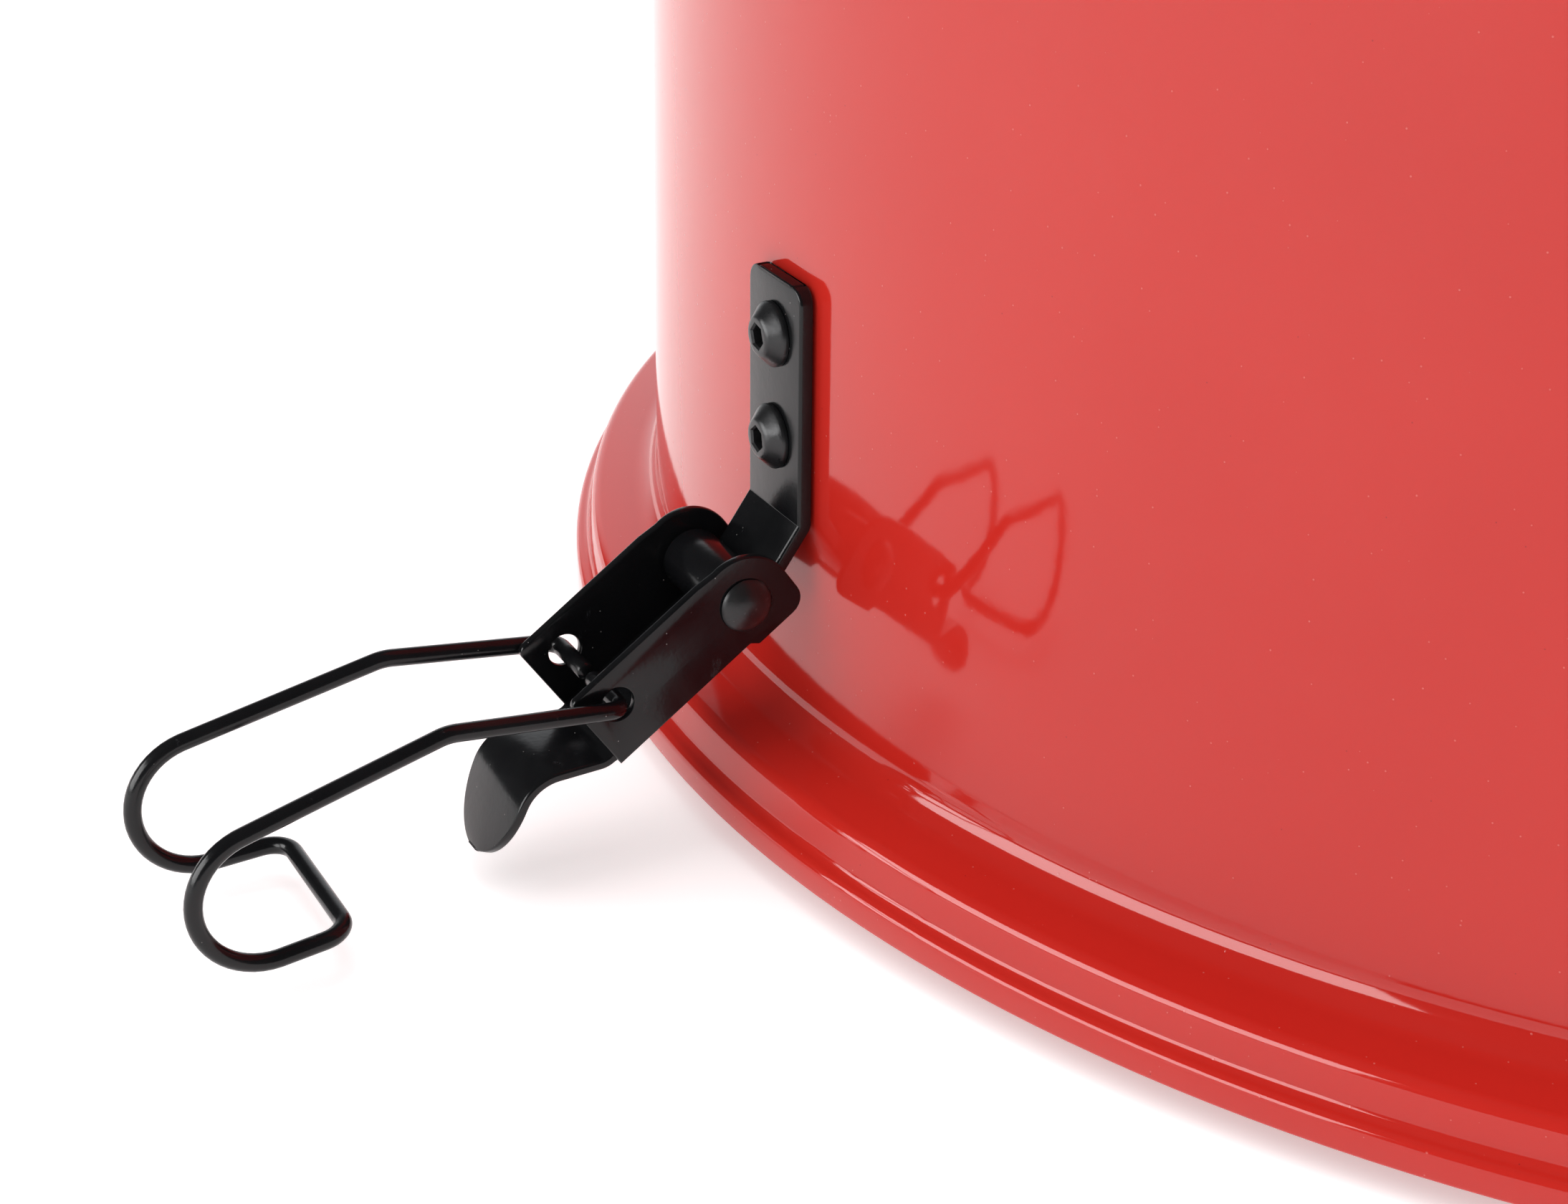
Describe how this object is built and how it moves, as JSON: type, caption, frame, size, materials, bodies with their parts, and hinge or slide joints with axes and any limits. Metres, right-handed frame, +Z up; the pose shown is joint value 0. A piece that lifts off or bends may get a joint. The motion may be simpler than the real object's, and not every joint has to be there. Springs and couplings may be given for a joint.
{
  "type": "oily waste can",
  "caption": "Round red steel waste can with a flared foot flange, black toggle latches around the foot, a self-closing hinged lid and side drop handles.",
  "frame": {"origin": "on the can's axis at floor level", "axes": "+Z up along the can's axis, -Y the front, opposite the lid hinge; the handles are at +X and -X"},
  "size_m": [0.447, 0.447, 0.514],
  "materials": {
    "red_paint": "gloss",
    "black_paint": "gloss",
    "black_screw": "black oxide, semi-gloss",
    "zinc_steel": "zinc plated, satin",
    "rubber": "matte"
  },
  "bodies": {
    "can": {"can_wall": "red_paint", "can_foot": "red_paint", "base_pan": "red_paint", "base_gasket": "rubber", "lid_hinge_bracket": "black_paint", "lid_hinge_pin": "zinc_steel", "hinge_bracket_rivet_left": "zinc_steel", "hinge_bracket_rivet_right": "zinc_steel", "handle_left_bracket": "black_paint", "handle_left_rivet_front": "zinc_steel", "handle_left_rivet_rear": "zinc_steel", "handle_right_bracket": "black_paint", "handle_right_rivet_front": "zinc_steel", "handle_right_rivet_rear": "zinc_steel", "latch_front_left_strap": "black_paint", "latch_front_left_backing_plate": "zinc_steel", "latch_front_left_screw_upper": "black_screw", "latch_front_left_screw_lower": "black_screw", "latch_front_right_strap": "black_paint", "latch_front_right_backing_plate": "zinc_steel", "latch_front_right_screw_upper": "black_screw", "latch_front_right_screw_lower": "black_screw", "latch_rear_right_strap": "black_paint", "latch_rear_right_backing_plate": "zinc_steel", "latch_rear_right_screw_upper": "black_screw", "latch_rear_right_screw_lower": "black_screw", "latch_rear_left_strap": "black_paint", "latch_rear_left_backing_plate": "zinc_steel", "latch_rear_left_screw_upper": "black_screw", "latch_rear_left_screw_lower": "black_screw"},
    "lid": {"lid_top": "red_paint", "lid_skirt": "red_paint", "lid_hinge_strap": "black_paint", "hinge_strap_rivet_left": "zinc_steel", "hinge_strap_rivet_right": "zinc_steel", "lid_grip": "black_paint", "lid_grip_rivet_left": "zinc_steel", "lid_grip_rivet_right": "zinc_steel"},
    "handle_left_drop": {"handle_left_grip": "black_paint"},
    "handle_right_drop": {"handle_right_grip": "black_paint"},
    "latch_front_left_lever_body": {"latch_front_left_lever": "black_paint", "latch_front_left_pivot_pin": "black_screw"},
    "latch_front_left_bail_body": {"latch_front_left_bail": "black_paint"},
    "latch_front_right_lever_body": {"latch_front_right_lever": "black_paint", "latch_front_right_pivot_pin": "black_screw"},
    "latch_front_right_bail_body": {"latch_front_right_bail": "black_paint"},
    "latch_rear_right_lever_body": {"latch_rear_right_lever": "black_paint", "latch_rear_right_pivot_pin": "black_screw"},
    "latch_rear_right_bail_body": {"latch_rear_right_bail": "black_paint"},
    "latch_rear_left_lever_body": {"latch_rear_left_lever": "black_paint", "latch_rear_left_pivot_pin": "black_screw"},
    "latch_rear_left_bail_body": {"latch_rear_left_bail": "black_paint"}
  },
  "joints": [
    {"name": "lid_hinge", "type": "hinge", "parent": "can", "child": "lid", "pos_m": [0, 0.2175, 0.462], "axis": [-1, 0, 0], "range_deg": [0, 60]},
    {"name": "handle_left_swing", "type": "hinge", "parent": "can", "child": "handle_left_drop", "pos_m": [-0.2125, 0, 0.392], "axis": [0, 1, 0], "range_deg": [0, 95]},
    {"name": "handle_right_swing", "type": "hinge", "parent": "can", "child": "handle_right_drop", "pos_m": [0.2125, 0, 0.392], "axis": [0, -1, 0], "range_deg": [0, 95]},
    {"name": "latch_front_left_lever_pivot", "type": "hinge", "parent": "can", "child": "latch_front_left_lever_body", "pos_m": [-0.15274, -0.15274, 0.0405], "axis": [-0.7071, 0.7071, 0], "range_deg": [0, 125]},
    {"name": "latch_front_left_bail_pivot", "type": "hinge", "parent": "latch_front_left_lever_body", "child": "latch_front_left_bail_body", "pos_m": [-0.16697, -0.16697, 0.02933], "axis": [-0.7071, 0.7071, 0], "range_deg": [-177.5, 0]},
    {"name": "latch_front_right_lever_pivot", "type": "hinge", "parent": "can", "child": "latch_front_right_lever_body", "pos_m": [0.15274, -0.15274, 0.0405], "axis": [-0.7071, -0.7071, 0], "range_deg": [0, 125]},
    {"name": "latch_front_right_bail_pivot", "type": "hinge", "parent": "latch_front_right_lever_body", "child": "latch_front_right_bail_body", "pos_m": [0.16697, -0.16697, 0.02933], "axis": [-0.7071, -0.7071, 0], "range_deg": [-177.5, 0]},
    {"name": "latch_rear_right_lever_pivot", "type": "hinge", "parent": "can", "child": "latch_rear_right_lever_body", "pos_m": [0.15274, 0.15274, 0.0405], "axis": [0.7071, -0.7071, 0], "range_deg": [0, 125]},
    {"name": "latch_rear_right_bail_pivot", "type": "hinge", "parent": "latch_rear_right_lever_body", "child": "latch_rear_right_bail_body", "pos_m": [0.16697, 0.16697, 0.02933], "axis": [0.7071, -0.7071, 0], "range_deg": [-177.5, 0]},
    {"name": "latch_rear_left_lever_pivot", "type": "hinge", "parent": "can", "child": "latch_rear_left_lever_body", "pos_m": [-0.15274, 0.15274, 0.0405], "axis": [0.7071, 0.7071, 0], "range_deg": [0, 125]},
    {"name": "latch_rear_left_bail_pivot", "type": "hinge", "parent": "latch_rear_left_lever_body", "child": "latch_rear_left_bail_body", "pos_m": [-0.16697, 0.16697, 0.02933], "axis": [0.7071, 0.7071, 0], "range_deg": [-177.5, 0]}
  ],
  "couplings": [
    {"joint": "latch_front_left_bail_pivot", "follows": "latch_front_left_lever_pivot", "ratio": -1.42},
    {"joint": "latch_front_right_bail_pivot", "follows": "latch_front_right_lever_pivot", "ratio": -1.42},
    {"joint": "latch_rear_right_bail_pivot", "follows": "latch_rear_right_lever_pivot", "ratio": -1.42},
    {"joint": "latch_rear_left_bail_pivot", "follows": "latch_rear_left_lever_pivot", "ratio": -1.42}
  ]
}
